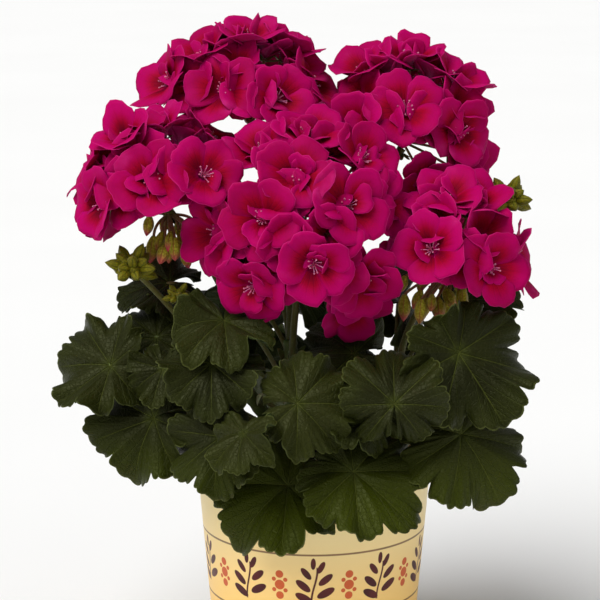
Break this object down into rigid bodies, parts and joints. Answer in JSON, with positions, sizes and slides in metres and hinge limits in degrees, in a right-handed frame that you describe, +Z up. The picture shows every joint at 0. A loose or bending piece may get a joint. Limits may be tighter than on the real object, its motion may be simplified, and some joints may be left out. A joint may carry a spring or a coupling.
{
  "type": "potted zonal geranium",
  "caption": "Bushy zonal geranium with magenta flower heads, green buds and round scalloped leaves, growing in a round tapered plastic pot.",
  "frame": {"origin": "the middle of the pot's flat underside, on the surface that the pot stands on", "axes": "+Z up along the pot's axis, -Y towards the front of the plant, where most flower heads show, and +X to its right"},
  "size_m": [0.2549, 0.2142, 0.3551],
  "materials": {
    "petal": "matte",
    "stalk": "satin",
    "bud": "satin",
    "leaf": "satin",
    "pot": "satin",
    "soil": "matte"
  },
  "bodies": {
    "root": {"flower_head_left": "petal", "flower_head_top_left": "petal", "flower_head_top_right": "petal", "flower_head_front": "petal", "flower_head_right": "petal", "flower_stalk_left": "stalk", "flower_stalk_top_left": "stalk", "flower_stalk_top_right": "stalk", "flower_stalk_front": "stalk", "flower_stalk_right": "stalk", "bud_head_left": "bud", "bud_head_small": "bud", "bud_head_right": "bud", "leafy_shoot_left": "leaf", "leafy_shoot_front_left": "leaf", "leafy_shoot_front_right": "leaf", "leafy_shoot_right": "leaf", "leafy_shoot_back_right": "leaf", "leafy_shoot_back_left": "leaf", "pot": "pot", "soil": "soil"}
  },
  "joints": []
}
